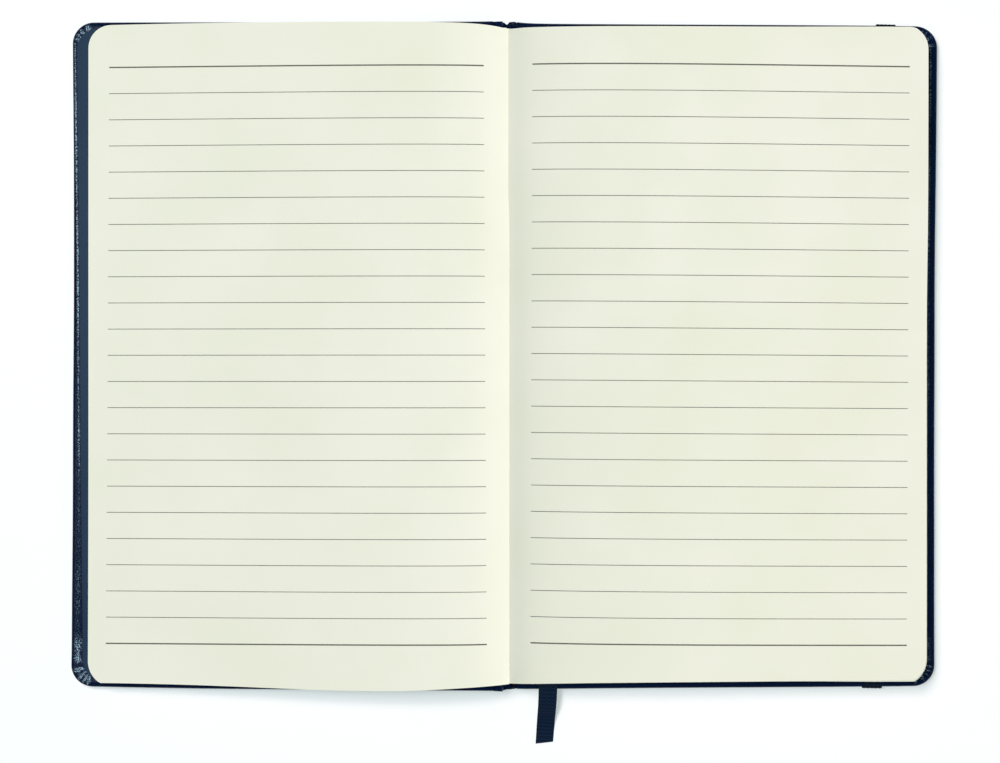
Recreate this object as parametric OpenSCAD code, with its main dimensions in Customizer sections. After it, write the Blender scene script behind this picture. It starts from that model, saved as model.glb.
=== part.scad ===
// Hardback ruled notebook lying open, left side thin and right side thick.
// X runs across the open book, Y from tail to head, Z up from the table.
// The origin is on the table, under the gutter, at mid-length of the spine.

/* [Cover] */
// Length of the cover from tail to head
cover_len = 210; // [170:1:300]
// Width of each board from the joint to the fore edge
board_w = 132.5; // [100:0.5:200]
// Thickness of the boards
board_t = 1.8; // [1.2:0.1:3]
// Thickness of the leatherette
skin_t = 0.35; // [0.2:0.05:0.5]
// Radius of the rounded fore-edge corners of the cover
corner_r = 6.8; // [4:0.1:12]
// Rounding along the edges of the cover
edge_r = 1; // [0.5:0.05:1.1]
// Width of leatherette turned in over the boards
turn_in = 15; // [10:0.5:25]
// Border of leatherette left bare round a pasted endpaper
border = 2.3; // [1:0.1:4]
// Slope of the front board, down from the spine
front_tilt = 2.6; // [1:0.1:4]
// Slope of the back board, down from the spine
back_tilt = 0.5; // [0.2:0.1:1.5]

/* [Spine] */
// Distance from the gutter to the front board
front_joint = 5.1; // [4.4:0.1:8]
// Distance from the gutter to the back board
back_joint = 2.5; // [2.3:0.1:5]
// Distance from the gutter to the fold of the spine on the front side
spine_fold = 2.6; // [2.2:0.1:3.4]
// Width of the flat foot that the folded spine stands on
foot_w = 2.2; // [1.4:0.1:2.4]
// Radius of the folds in the spine
fold_r = 1; // [0.9:0.05:1.2]

/* [Leaves] */
// Overhang of the cover past the leaves at head and tail
square_len = 2.3; // [1:0.1:5]
// Overhang of the front cover past the leaves at the fore edge
square_front = 5.8; // [3:0.1:9]
// Overhang of the back cover past the leaves at the fore edge
square_back = 4.5; // [3:0.1:9]
// Radius of the rounded corners of the leaves
leaf_r = 7; // [3:0.1:12]
// Thickness of all the leaves on the left side
left_stack = 2.5; // [1.5:0.1:5]
// Thickness of all the leaves on the right side
right_stack = 7.5; // [5:0.1:12]
// Height of the belly in the left page
left_belly = 4.1; // [3:0.1:6]
// Distance of that belly from the gutter
left_peak = 33; // [25:1:50]
// Height of the belly in the right page
right_belly = 4.3; // [3:0.1:6]
// Distance of that belly from the gutter
right_peak = 39; // [25:1:50]
// Number of sewn sections
sections = 6; // [5:1:8]
// Thickness of leaves between two grooves of the page edges
group_t = 0.42; // [0.4:0.01:1.2]
// Depth of those grooves
groove_depth = 0.35; // [0.2:0.05:0.6]
// Width of those grooves
groove_w = 0.1; // [0.06:0.01:0.15]
// Thickness of the endpapers
paper_t = 0.15; // [0.1:0.01:0.25]

/* [Ribbon] */
// Width of the ribbon
ribbon_w = 6; // [4:0.5:8]
// Thickness of the ribbon
ribbon_t = 0.3; // [0.2:0.05:0.4]
// Length of ribbon that hangs out past the tail of the cover
ribbon_tail = 18.4; // [16:0.1:30]
// Distance from the head of the leaves to the hidden end of the ribbon
ribbon_head = 5; // [2:0.5:40]
// Distance of the ribbon from the gutter, where it leaves the tail
ribbon_x = 12.5; // [11:0.5:30]
// Radius of the two bends that bring the ribbon down to the table
ribbon_bend = 12; // [6:0.5:13]

/* [Elastic] */
// Width of the elastic band
elastic_w = 6.2; // [4:0.1:10]
// Thickness of the elastic band
elastic_t = 0.7; // [0.5:0.05:0.8]
// Thickness of its ends, pressed flat under the endpaper
elastic_end_t = 0.3; // [0.2:0.05:0.35]
// Distance from the fore edge of the cover to the middle of the band
elastic_inset = 17.6; // [14:0.1:30]
// Angle between the band and the fore edge
elastic_skew = 1.2; // [0:0.1:2]
// Length of each end of the band glued under the endpaper
elastic_end = 12; // [8:1:20]

/* [Hidden] */
$fn = 48;
cut = 1; // how far a cutting shape runs past what it cuts
glue = 0.05; // play round a board inside its leatherette
hinge_gap = 0.1; // play between the leatherette of spine and cover
board_gap = 0.3; // play between the leaves and the inner edges of the boards
ribbon_past = 1; // how far the ribbon runs level past the tail of the cover
fit = 0.1; // play on each face of a loose flat piece
front_clear = 0.15; // play between the front endpaper and the leaf above it

cover_t = board_t + 2 * skin_t;
cover_w = board_w + skin_t;
paste_top = cover_t + paper_t;
front_base = paste_top + front_clear + paper_t;
back_clear = ribbon_t + 2 * fit;
back_base = paste_top + back_clear + paper_t;
leaf_len = cover_len - 2 * square_len;

elastic_u = cover_w - elastic_inset;
elastic_far = elastic_u + (cover_len / 2 + elastic_t) * sin(elastic_skew) + elastic_w / 2;

// The covers stand on the front fore edge and on the elastic band.
front_z = (cover_w - edge_r) * sin(front_tilt) + edge_r * (1 - cos(front_tilt));
back_z = elastic_far * sin(back_tilt) + elastic_t * cos(back_tilt);

// A point of a cover: u from its joint to its fore edge, t from its outer to its inner face.
function front_pt(u, t) = [
    -front_joint - u * cos(front_tilt) - t * sin(front_tilt),
    front_z - u * sin(front_tilt) + t * cos(front_tilt)
];
function back_pt(u, t) = [
    back_joint + u * cos(back_tilt) + t * sin(back_tilt),
    back_z - u * sin(back_tilt) + t * cos(back_tilt)
];

left_reach = -front_pt(cover_w - square_front, 0)[0];
right_reach = back_pt(cover_w - square_back, 0)[0];

// Height of the plane that the leaves of one side lie on, over a distance x from the gutter.
function front_floor(x) = front_pt(0, front_base)[1] - (x - front_joint) * tan(front_tilt);
function back_floor(x) = back_pt(0, back_base)[1] - (x - back_joint) * tan(back_tilt);

gutter_z = front_floor(front_joint) + 0.2;

// Open page: a straight rise from gutter to fore edge, with a belly that peaks at its own distance.
function belly(x, reach, peak) = sin(180 * pow(min(x, reach) / reach, ln(0.5) / ln(peak / reach)));
function page_top(x, reach, fore_z, height, peak) =
    gutter_z + (fore_z - gutter_z) * min(x, reach) / reach + height * belly(x, reach, peak);
function left_top(x) =
    page_top(x, left_reach, front_floor(left_reach) + left_stack, left_belly, left_peak);
function right_top(x) =
    page_top(x, right_reach, back_floor(right_reach) + right_stack, right_belly, right_peak);

page_steps = 16;
function page_x(i, reach) = reach * pow(i / page_steps, 2);

// Outline helpers: an arc of points, and a path moved sideways to its left with mitred corners.
function arc(c, r, from, to, n = 5) =
    [for (i = [0:n]) c + r * [cos(from + (to - from) * i / n), sin(from + (to - from) * i / n)]];
function side_of(a, b) = [a[1] - b[1], b[0] - a[0]] / norm(b - a);
function moved(p, i, d) =
    let (n = len(p) - 1)
    let (n1 = side_of(p[max(i - 1, 0)], p[max(i, 1)]))
    let (n2 = side_of(p[min(i, n - 1)], p[min(i + 1, n)]))
    let (m = (n1 + n2) / norm(n1 + n2))
    p[i] + m * d / (m * n1);
function moved_path(p, d) = [for (i = [0:len(p) - 1]) moved(p, i, d)];
function backwards(p) = [for (i = [len(p) - 1:-1:0]) p[i]];

// Length of a path, and the point that lies a length s along it.
function span(p, i) = norm(p[i + 1] - p[i]);
function path_len(p, i = 0) = i > len(p) - 2 ? 0 : span(p, i) + path_len(p, i + 1);
function along(p, s, i = 0) =
    (i > len(p) - 3 || s <= span(p, i)) ? p[i] + (p[i + 1] - p[i]) * s / span(p, i)
    : along(p, s - span(p, i), i + 1);

module band(p, from, to) {
    polygon(concat(moved_path(p, from), backwards(moved_path(p, to))));
}

// Outer face of the spine: in from the front joint, down the fold, along the foot, up to the back joint.
spine_start = front_pt(-hinge_gap, 0);
spine_end = back_pt(-hinge_gap, 0);
shoulder = [-spine_fold - fold_r, spine_start[1] - fold_r];
heel = [-spine_fold + fold_r, fold_r];
toe = [-spine_fold + fold_r + foot_w, fold_r];
toe_to_end = spine_end - toe;
toe_angle = atan2(toe_to_end[1], toe_to_end[0]) - acos(fold_r / norm(toe_to_end));
spine_path = concat(
    [spine_start],
    arc(shoulder, fold_r, 90, 0),
    arc(heel, fold_r, 180, 270),
    arc(toe, fold_r, 270, 360 + toe_angle),
    [spine_end]
);

// Centres of the sewn folds: a line that keeps one fold radius inside the glued lining.
lining_d = 2 * skin_t;
wall_dir = [-sin(toe_angle), cos(toe_angle)];
wall_side = [-wall_dir[1], wall_dir[0]];
block_left = -front_joint + board_gap;
block_right = back_joint - board_gap;
function fold_line(d) =
    let (top = spine_end + d * wall_side)
    [
        [block_left, spine_start[1] + d],
        [d - spine_fold, spine_start[1] + d],
        [d - spine_fold, d],
        top - wall_dir * (top[1] - d) / wall_dir[1],
        top
    ];
sewn_r = 0.46 * path_len(fold_line(lining_d + fit + 1)) / sections;
sewn_line = fold_line(lining_d + fit + sewn_r);
valley_line = fold_line(lining_d + fit + sewn_r / 2);

// A profile drawn in X and Z, run along Y over a length centred on the origin.
module along_y(length) {
    translate([0, length / 2, 0])
        rotate([90, 0, 0])
            linear_extrude(length)
                children();
}

module front_place() {
    translate([-front_joint, 0, front_z])
        mirror([1, 0, 0])
            rotate([0, front_tilt, 0])
                children();
}

module back_place() {
    translate([back_joint, 0, back_z])
        rotate([0, back_tilt, 0])
            children();
}

// Plan of a cover piece: square at the joint, round at the two fore-edge corners.
module cover_plan(from, to, length, r) {
    translate([from, -length / 2])
        square([to - from - r, length]);
    translate([to - 2 * r, r - length / 2])
        square([2 * r, length - 2 * r]);
    for (y = [-1, 1])
        translate([to - r, y * (length / 2 - r)])
            circle(r);
}

module rounded_edge() {
    square([corner_r - edge_r, cover_t]);
    translate([0, edge_r])
        square([corner_r, cover_t - 2 * edge_r]);
    for (z = [edge_r, cover_t - edge_r])
        translate([corner_r - edge_r, z])
            circle(edge_r);
}

// Whole covered board with its three rounded edges, before it is hollowed.
module cover_body() {
    straight = cover_len / 2 - corner_r;
    translate([0, -straight, 0])
        cube([cover_w - corner_r, 2 * straight, cover_t]);
    translate([cover_w - corner_r, straight, 0])
        rotate([90, 0, 0])
            linear_extrude(2 * straight)
                rounded_edge();
    for (side = [0, 1])
        mirror([0, side, 0]) {
            translate([0, straight, 0])
                rotate([90, 0, 90])
                    linear_extrude(cover_w - corner_r)
                        rounded_edge();
            translate([cover_w - corner_r, straight, 0])
                rotate_extrude(angle = 90)
                    rounded_edge();
        }
}

// Leatherette wrapped round a board, with its turned-in frame on the inner face.
module cover_skin() {
    difference() {
        cover_body();
        translate([0, 0, skin_t])
            linear_extrude(board_t)
                cover_plan(-cut, cover_w - skin_t, cover_len - 2 * skin_t, corner_r - skin_t);
        translate([-cut, turn_in - cover_len / 2, skin_t + board_t / 2])
            cube([cut + cover_w - turn_in, cover_len - 2 * turn_in, cover_t]);
    }
}

module board() {
    translate([0, 0, skin_t])
        linear_extrude(board_t)
            cover_plan(0, board_w - glue, cover_len - 2 * skin_t - 2 * glue, corner_r - skin_t - glue);
}

// Pasted endpaper: a sheet up to the bare border, and the filling inside the frame of turned-in skin.
module pasted_endpaper() {
    translate([0, 0, cover_t])
        linear_extrude(paper_t)
            cover_plan(0, cover_w - border, cover_len - 2 * border, corner_r - border);
    translate([0, turn_in + glue - cover_len / 2, cover_t - skin_t])
        cube([cover_w - turn_in - glue, cover_len - 2 * turn_in - 2 * glue, skin_t]);
}

module round_slab(half, low, high, r) {
    translate([-half, low + r])
        square([2 * half, high - low - 2 * r]);
    translate([r - half, low])
        square([2 * half - 2 * r, high - low]);
    for (y = [r - half, half - r], z = [low + r, high - r])
        translate([y, z])
            circle(r);
}

module elastic_place() {
    translate([elastic_u, 0, 0])
        rotate([0, 0, -elastic_skew])
            children();
}

// Strap that goes round the cover from head to tail, open on the inner face between its glued ends.
module strap() {
    half = cover_len / 2 + elastic_w / 2 * sin(elastic_skew) + glue;
    elastic_place()
        translate([-elastic_w / 2, 0, 0])
            rotate([90, 0, 90])
                linear_extrude(elastic_w)
                    difference() {
                        round_slab(half + elastic_t, -elastic_t, cover_t + elastic_end_t, edge_r + elastic_end_t);
                        round_slab(half, 0, cover_t, edge_r);
                        translate([elastic_end - cover_len / 2, cover_t - fit])
                            square([cover_len - 2 * elastic_end, elastic_t + cut]);
                    }
}

// Block over each glued end of the strap, grown by a wall and raised from a level below the endpaper.
module strap_end(wall, below, top) {
    elastic_place()
        for (side = [0, 1])
            mirror([0, side, 0])
                translate([-elastic_w / 2 - wall, cover_len / 2 - elastic_end - wall, cover_t - below])
                    cube([elastic_w + 2 * wall, elastic_end + wall - border + (below > 0 ? cut : 0), below + top]);
}

// Plan of the leaves: square to the gutter, round at the four fore-edge corners.
module leaf_plan(inset) {
    length = leaf_len - 2 * inset;
    r = leaf_r - inset;
    cover_plan(-cut, right_reach - inset, length, r);
    mirror([1, 0])
        cover_plan(-cut, left_reach - inset, length, r);
}

// Thin gap between two groups of leaves, at a share f of the thickness of its stack.
function gap_x(i, reach) = i > page_steps ? reach + cut : page_x(i, reach);
module leaf_gap(f, side) {
    reach = side < 0 ? left_reach : right_reach;
    xs = [for (i = [4:2:page_steps + 2]) gap_x(i, reach)];
    low = [
        for (x = xs)
            side < 0 ? front_floor(x) * (1 - f) + left_top(x) * f
            : back_floor(x) * (1 - f) + right_top(x) * f
    ];
    n = len(xs) - 1;
    polygon(concat(
        [for (i = [0:n]) [side * xs[i], low[i] - groove_w / 2]],
        [for (i = [n:-1:0]) [side * xs[i], low[i] + groove_w / 2]]
    ));
}

module block_section() {
    polygon(concat(
        [for (i = [page_steps:-1:1]) [-page_x(i, left_reach), left_top(page_x(i, left_reach))]],
        [[0, gutter_z]],
        [for (i = [1:page_steps]) [page_x(i, right_reach), right_top(page_x(i, right_reach))]],
        [[right_reach, back_floor(right_reach)], [block_right, back_floor(block_right)]],
        backwards(valley_line),
        [[block_left, front_floor(-block_left)], [-left_reach, front_floor(left_reach)]]
    ));
}

// Rounded backs of the sewn sections.
module sewn_folds() {
    for (i = [0:sections - 1]) {
        centre = along(sewn_line, path_len(sewn_line) * (i + 0.5) / sections);
        translate([centre[0], 0, centre[1]])
            rotate([90, 0, 0])
                cylinder(h = leaf_len, r = sewn_r, center = true);
    }
}

module text_block() {
    color("ivory") {
        sewn_folds();
        difference() {
            intersection() {
                along_y(leaf_len)
                    block_section();
                linear_extrude(4 * right_stack)
                    leaf_plan(0);
            }
            difference() {
                along_y(leaf_len + cut)
                    for (side = [-1, 1]) {
                        groups = round((side < 0 ? left_stack : right_stack) / group_t);
                        for (i = [1:groups - 1])
                            leaf_gap(i / groups, side);
                    }
                translate([0, 0, -cut])
                    linear_extrude(4 * right_stack + 2 * cut)
                        leaf_plan(groove_depth);
            }
        }
    }
}

module spine_lining() {
    color("gainsboro")
        along_y(leaf_len)
            band(spine_path, skin_t, lining_d);
}

module spine_skin() {
    rim = square_len - fit;
    color("midnightblue") {
        along_y(cover_len)
            band(spine_path, 0, skin_t);
        for (y = [-1, 1])
            translate([0, y * (cover_len - rim) / 2, 0])
                along_y(rim)
                    band(spine_path, skin_t, lining_d);
    }
}

module front_flyleaf() {
    color("navy")
        intersection() {
            along_y(leaf_len)
                polygon([
                    [block_left, front_floor(-block_left)],
                    [block_left, front_floor(-block_left) - paper_t],
                    [-left_reach, front_floor(left_reach) - paper_t],
                    [-left_reach, front_floor(left_reach)]
                ]);
            linear_extrude(4 * right_stack)
                leaf_plan(0);
        }
}

module back_flyleaf() {
    color("navy")
        intersection() {
            along_y(leaf_len)
                polygon([
                    [block_right, back_floor(block_right)],
                    [block_right, back_floor(block_right) - paper_t],
                    [right_reach, back_floor(right_reach) - paper_t],
                    [right_reach, back_floor(right_reach)]
                ]);
            linear_extrude(4 * right_stack)
                leaf_plan(0);
        }
}

// Ribbon: a flat strap between back endpaper and last leaf, that bends down to the table past the tail.
ribbon_z = back_floor(ribbon_x + ribbon_w / 2) - paper_t - fit - ribbon_t;
ribbon_turn = acos(1 - ribbon_z / 2 / ribbon_bend);
ribbon_out = cover_len / 2 + ribbon_past;
ribbon_run = 2 * ribbon_bend * sin(ribbon_turn);
ribbon_path = concat(
    [[leaf_len / 2 - ribbon_head, ribbon_z]],
    arc([-ribbon_out, ribbon_z - ribbon_bend], ribbon_bend, 90, 90 + ribbon_turn),
    arc([-ribbon_out - ribbon_run, ribbon_bend], ribbon_bend, 270 + ribbon_turn * 0.8, 270, 4),
    [[-cover_len / 2 - ribbon_tail, 0]]
);
module ribbon_marker() {
    color("darkslateblue")
        translate([ribbon_x - ribbon_w / 2, 0, 0])
            rotate([90, 0, 90])
                linear_extrude(ribbon_w)
                    band(ribbon_path, 0, -ribbon_t);
}

module front_board() {
    color("tan")
        front_place()
            board();
}

module front_cover_skin() {
    color("midnightblue")
        front_place()
            cover_skin();
}

module front_endpaper() {
    color("steelblue")
        front_place()
            pasted_endpaper();
}

module back_board() {
    color("tan")
        back_place()
            board();
}

module back_cover_skin() {
    color("midnightblue")
        back_place()
            cover_skin();
}

// The endpaper rises over the two ends of the elastic.
module back_endpaper() {
    color("steelblue")
        back_place()
            difference() {
                union() {
                    pasted_endpaper();
                    strap_end(2 * paper_t, 0, elastic_end_t + paper_t);
                }
                strap_end(glue, fit, elastic_end_t + glue);
            }
}

module elastic_band() {
    color("black")
        back_place()
            strap();
}

text_block();
spine_lining();
spine_skin();
front_flyleaf();
back_flyleaf();
ribbon_marker();
front_board();
front_cover_skin();
front_endpaper();
back_board();
back_cover_skin();
back_endpaper();
elastic_band();
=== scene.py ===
import bmesh, bpy, math
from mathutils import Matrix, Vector


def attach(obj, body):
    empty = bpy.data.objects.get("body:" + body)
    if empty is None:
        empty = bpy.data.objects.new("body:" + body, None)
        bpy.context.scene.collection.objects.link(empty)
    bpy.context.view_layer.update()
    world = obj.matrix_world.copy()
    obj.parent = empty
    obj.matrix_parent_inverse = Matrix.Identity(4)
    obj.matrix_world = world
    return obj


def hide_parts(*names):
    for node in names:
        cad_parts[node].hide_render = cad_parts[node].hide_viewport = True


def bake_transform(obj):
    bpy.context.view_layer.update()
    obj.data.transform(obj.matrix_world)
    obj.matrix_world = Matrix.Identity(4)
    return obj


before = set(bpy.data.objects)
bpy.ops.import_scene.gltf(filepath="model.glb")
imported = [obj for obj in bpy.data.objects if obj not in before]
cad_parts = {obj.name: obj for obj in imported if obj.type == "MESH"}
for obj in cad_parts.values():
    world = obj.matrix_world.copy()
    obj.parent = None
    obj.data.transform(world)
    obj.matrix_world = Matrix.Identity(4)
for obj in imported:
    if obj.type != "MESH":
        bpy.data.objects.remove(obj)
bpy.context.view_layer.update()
mm = 0.001
print("frame loaded")

# camera, straight above the open book and leaning a little towards its thick side
camera = {"x": -11.79, "y": -7.84, "height": 597.7, "lean": 0.01501, "nod": -0.00064, "focal": 1881 / 1000}
camData = bpy.data.cameras.new("overhead")
camData.sensor_width = 36
camData.lens = 36 * camera["focal"]
overhead = bpy.data.objects.new("overhead", camData)
overhead.location = (camera["x"] * mm, camera["y"] * mm, camera["height"] * mm)
overhead.rotation_euler = (camera["nod"], -camera["lean"], 0)
bpy.context.scene.collection.objects.link(overhead)
bpy.context.scene.camera = overhead
bpy.context.scene.view_settings.view_transform = "Standard"


# small helpers
def inScene(name, data):
    made = bpy.data.objects.new(name, data)
    bpy.context.scene.collection.objects.link(made)
    return made


def addMesh(name, verts, faces):
    data = bpy.data.meshes.new(name)
    data.from_pydata([tuple(c * mm for c in v) for v in verts], [], faces)
    data.validate()
    return inScene(name, data)


def outward(made):  # every closed shell of the piece gets faces that look out
    shape = bmesh.new()
    shape.from_mesh(made.data)
    bmesh.ops.recalc_face_normals(shape, faces=shape.faces)
    shape.to_mesh(made.data)
    shape.free()
    return made


def dress(made, material, sharpAbove=0):  # one finish all over, smooth but for edges that turn by more degrees
    if sharpAbove:
        made.data.polygons.foreach_set("use_smooth", [True] * len(made.data.polygons))
        made.data.set_sharp_from_angle(angle=math.radians(sharpAbove))
    made.data.materials.clear()
    made.data.materials.append(material)
    return made


def gridFaces(rows, cols, start=0, flip=False):
    faces = []
    for r in range(rows - 1):
        for c in range(cols - 1):
            a = start + r * cols + c
            quad = (a, a + 1, a + cols + 1, a + cols)
            faces.append(quad[::-1] if flip else quad)
    return faces


def sheetFaces(rows, cols):  # an upper and a lower grid, joined round the edge
    lower = rows * cols
    edge = [(r * cols + c, cols) for r in range(rows - 1) for c in (0, cols - 1)]
    edge += [(r * cols + c, 1) for c in range(cols - 1) for r in (0, rows - 1)]
    faces = gridFaces(rows, cols) + gridFaces(rows, cols, start=lower, flip=True)
    return faces + [(a, a + way, a + way + lower, a + lower) for a, way in edge]


def prismFaces(n, start=0):  # between two rings of n points, closed at both ends
    low, high = range(start, start + n), range(start + n, start + 2 * n)
    ends = [tuple(low), tuple(high)[::-1]]
    return ends + [(low[i], low[(i + 1) % n], high[(i + 1) % n], high[i]) for i in range(n)]


def tubeFaces(rows, cols):  # a ring of points carried along the rows, closed at both ends
    faces = []
    for r in range(rows - 1):
        for c in range(cols):
            a, b = r * cols + c, r * cols + (c + 1) % cols
            faces.append((a, b, b + cols, a + cols))
    return faces + [tuple(range(cols)), tuple(range((rows - 1) * cols, rows * cols))[::-1]]


def arc(cx, cz, r, degrees):
    return [(cx + r * math.cos(math.radians(a)), cz + r * math.sin(math.radians(a))) for a in degrees]


def bell(x, centre, width):
    return math.exp(-((x - centre) / width) ** 2)


def step(x, centre, width):  # a soft step from 0 to 1
    return 1 / (1 + math.exp(-(x - centre) / width))


quarter = [math.radians(a) for a in range(0, 91, 15)]  # the turns of a rounded edge


def finishTree(made, modifier):
    dg = bpy.context.evaluated_depsgraph_get()
    plain = bpy.data.meshes.new_from_object(made.evaluated_get(dg))
    made.modifiers.remove(modifier)
    made.data = plain
    return made


def setInputs(modifier, values):
    for item in modifier.node_group.interface.items_tree:
        if item.item_type == "SOCKET" and item.in_out == "INPUT" and item.name in values:
            modifier[item.identifier] = values[item.name]


def joinAll(name, parts):
    bpy.context.view_layer.update()
    first = parts[0]
    with bpy.context.temp_override(active_object=first, object=first, selected_objects=parts,
                                   selected_editable_objects=parts):
        bpy.ops.object.join()
    first.name = name
    return first


class Net:  # a thin wrapper that adds nodes and wires them
    def __init__(self, tree):
        self.tree = tree

    def feed(self, socket, value):
        if hasattr(value, "is_output"):
            self.tree.links.new(value, socket)
        else:
            socket.default_value = value

    def add(self, kind, inputs=None, **settings):
        node = self.tree.nodes.new(kind)
        for key, value in settings.items():
            setattr(node, key, value)
        for key, value in (inputs or {}).items():
            self.feed(node.inputs[key], value)
        return node

    def math(self, how, a, b=0.0, clamp=False):
        return self.add("ShaderNodeMath", {0: a, 1: b}, operation=how, use_clamp=clamp).outputs[0]

    def plus(self, a, b, clamp=False):
        return self.math("ADD", a, b, clamp)

    def minus(self, a, b, clamp=False):
        return self.math("SUBTRACT", a, b, clamp)

    def times(self, a, b, clamp=False):
        return self.math("MULTIPLY", a, b, clamp)

    def mix(self, share, a, b):  # of two colours
        return self.add("ShaderNodeMix", {0: share, 6: a, 7: b}, data_type="RGBA").outputs[2]

    def noise(self, at, scale, detail):
        return self.add("ShaderNodeTexNoise", {"Vector": at, "Scale": scale, "Detail": detail}).outputs[0]

    def named(self, name, kind="FLOAT"):
        return self.add("GeometryNodeInputNamedAttribute", {"Name": name}, data_type=kind).outputs[0]

    def number(self, copies, name, index):  # each copy keeps its number when it is made real
        marked = self.add("GeometryNodeStoreNamedAttribute", {"Geometry": copies, "Name": name, "Value": index},
                          data_type="FLOAT", domain="INSTANCE")
        return self.add("GeometryNodeRealizeInstances", {0: marked.outputs[0]}).outputs[0]


def newMaterial(name, roughness=0.5, specular=0.5):
    made = bpy.data.materials.new(name)
    made.use_nodes = True
    shader = made.node_tree.nodes["Principled BSDF"]
    shader.inputs["Roughness"].default_value = roughness
    shader.inputs["Specular IOR Level"].default_value = specular
    return made, Net(made.node_tree), shader


def wire(net, source, target):
    net.tree.links.new(source, target)


def addBump(net, shader, height, strength, depth):  # depth in millimetres
    bump = net.add("ShaderNodeBump", {"Height": height, "Strength": strength, "Distance": depth * mm})
    wire(net, bump.outputs[0], shader.inputs["Normal"])


def colour(r, g, b):  # a display colour, 0 to 255, as the linear value a shader wants
    def lin(c):
        c /= 255
        return c / 12.92 if c <= 0.04045 else ((c + 0.055) / 1.055) ** 2.4
    return (lin(r), lin(g), lin(b), 1.0)


def coords(net, scale=1000.0):
    place = net.add("ShaderNodeTexCoord").outputs["Object"]
    return net.add("ShaderNodeMapping", {"Vector": place, "Scale": (scale,) * 3}).outputs[0]


# materials
paperLook = {"tone": (243, 238, 220), "shade": (235, 232, 208), "roughness": 0.75}


def paperMaterial(name, look, fibre=1.0):
    made, net, shader = newMaterial(name, look["roughness"], 0.25)
    at = coords(net)
    cloud, fleck = net.noise(at, 0.03, 3.0), net.noise(at, 6.0, 4.0)
    share = net.times(net.minus(cloud, 0.35), 1.6, clamp=True)
    base = net.mix(share, colour(*look["tone"]), colour(*look["shade"]))
    dim = net.plus(net.times(fleck, 0.05), 0.96)
    toned = net.add("ShaderNodeHueSaturation", {"Color": base, "Value": dim}).outputs[0]
    wire(net, toned, shader.inputs["Base Color"])
    addBump(net, shader, fleck, 0.12 * fibre, 0.02)
    return made


pagePaper = paperMaterial("pagePaper", paperLook)
# a darker, greyer copy of the page paper: painted shade on the packed leaves and the sewn folds
shadedLeafPaper = paperMaterial("shadedLeafPaper", {"tone": (228, 228, 210), "shade": (214, 214, 194), "roughness": 0.85})

inkLook = {"tone": (96, 95, 86)}
ink, net, shader = newMaterial("ruledInk", 0.7)
spread = net.noise(coords(net), 1.2, 3.0)
paler = tuple(min(1.0, c * 1.35) for c in colour(*inkLook["tone"])[:3]) + (1.0,)
wire(net, net.mix(spread, colour(*inkLook["tone"]), paler), shader.inputs["Base Color"])

# the pale tone is both worn grain and painted glint
leatherLook = {"tone": (3, 19, 49), "worn": (8, 32, 70), "pore": (2, 10, 26), "wearAndGlintTone": (158, 184, 200),
               "roughness": 0.30, "grain": 0.7, "specular": 0.11, "cells": 2.3, "bumps": 3.2}
leather, net, shader = newMaterial("leatherette", specular=leatherLook["specular"])
at = coords(net)
cells = net.add("ShaderNodeTexVoronoi", {"Vector": at, "Scale": leatherLook["cells"], "Randomness": 0.9},
                feature="SMOOTH_F1").outputs["Distance"]
rough, patch = net.noise(at, leatherLook["bumps"], 4.0), net.noise(at, 0.05, 3.0)
patchy = net.times(patch, 0.9, clamp=True)
tone = net.mix(patchy, colour(*leatherLook["tone"]), colour(*leatherLook["worn"]))
pore = net.times(cells, 1.1, clamp=True)
tone = net.mix(pore, tone, colour(*leatherLook["pore"]))
glintAndWear = net.add("ShaderNodeAttribute", attribute_name="glintAndWear").outputs["Fac"]  # where the grain is worn pale, and painted glint: the ridge of the fore edge, the corner pleats and two sheen patches near the tail
proud = net.minus(rough, 0.60)  # the grains that stand highest turn pale first, as wear and as painted glint
wider = net.times(net.math("MINIMUM", glintAndWear, 0.8), 0.14)
speck = net.times(net.plus(proud, wider), 15.0, clamp=True)
# bare: how much of the pale tone shows, for worn grain and painted glint
bare = net.times(speck, net.minus(net.times(glintAndWear, 1.6), 0.2, clamp=True))
wire(net, net.mix(bare, tone, colour(*leatherLook["wearAndGlintTone"])), shader.inputs["Base Color"])
gloss = net.plus(net.times(rough, 0.25), leatherLook["roughness"] - 0.12)
wire(net, gloss, shader.inputs["Roughness"])
height = net.minus(net.times(rough, 0.35), cells)
addBump(net, shader, height, leatherLook["grain"], 0.1)

endpaper = paperMaterial("endpaper", {"tone": (22, 47, 71), "shade": (16, 38, 62), "roughness": 0.5}, 0.8)

boardCard = paperMaterial("greyboard", {"tone": (164, 154, 134), "shade": (138, 128, 108), "roughness": 0.9}, 2.5)

lining, net, shader = newMaterial("liningCloth", 0.9)
at = coords(net)
warp, weft = (net.add("ShaderNodeTexWave", {"Vector": at, "Scale": 0.6, "Distortion": 0.3}, bands_direction=way)
              for way in "XY")
weave = net.times(warp.outputs[0], weft.outputs[0])
wire(net, net.mix(weave, colour(24, 36, 54), colour(36, 50, 70)), shader.inputs["Base Color"])
addBump(net, shader, weave, 0.6, 0.1)


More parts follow.
